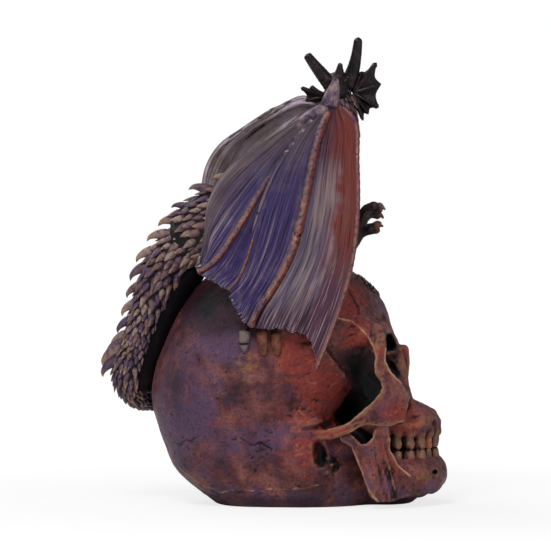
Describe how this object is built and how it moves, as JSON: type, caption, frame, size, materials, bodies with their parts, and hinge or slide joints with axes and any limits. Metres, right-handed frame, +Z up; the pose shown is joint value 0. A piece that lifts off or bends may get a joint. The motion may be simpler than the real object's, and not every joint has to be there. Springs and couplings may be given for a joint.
{
  "type": "dragon skull statue",
  "caption": "Skull with clenched teeth on a flat base and a horned dragon perched on its crown, one wing fanned over the side, spined tail wrapped round the back.",
  "frame": {"origin": "middle of the flat base on the surface that the statue stands on", "axes": "+Z up, the skull faces -Y, and the skull's right side is towards -X"},
  "size_m": [0.1011, 0.1455, 0.1988],
  "materials": {
    "bone": "satin painted resin, brown and violet with rust and ochre highlights",
    "hide": "satin painted resin, mauve brown scales with bronze edges",
    "dark_hide": "satin painted resin, near black with reddish edges",
    "wing_skin": "satin painted resin, navy violet with pink bronze ribs and a brick red front",
    "steel": "plain pins, hidden in the glue joints"
  },
  "bodies": {
    "root": {"skull": "bone", "mandible": "bone", "torso": "hide", "neck": "hide", "head": "dark_hide", "horn_right": "dark_hide", "horn_left": "dark_hide", "ear_fin_right": "dark_hide", "ear_fin_left": "dark_hide", "wing_right": "wing_skin", "wing_left": "wing_skin", "foreleg_right": "dark_hide", "foreleg_left": "dark_hide", "hind_leg_right": "hide", "hind_leg_left": "hide", "tail_root": "hide", "tail_bend": "hide", "tail_wrap": "hide", "tail_tip": "hide", "body_pin_front": "steel", "body_pin_rear": "steel", "head_pin": "steel"}
  },
  "joints": []
}
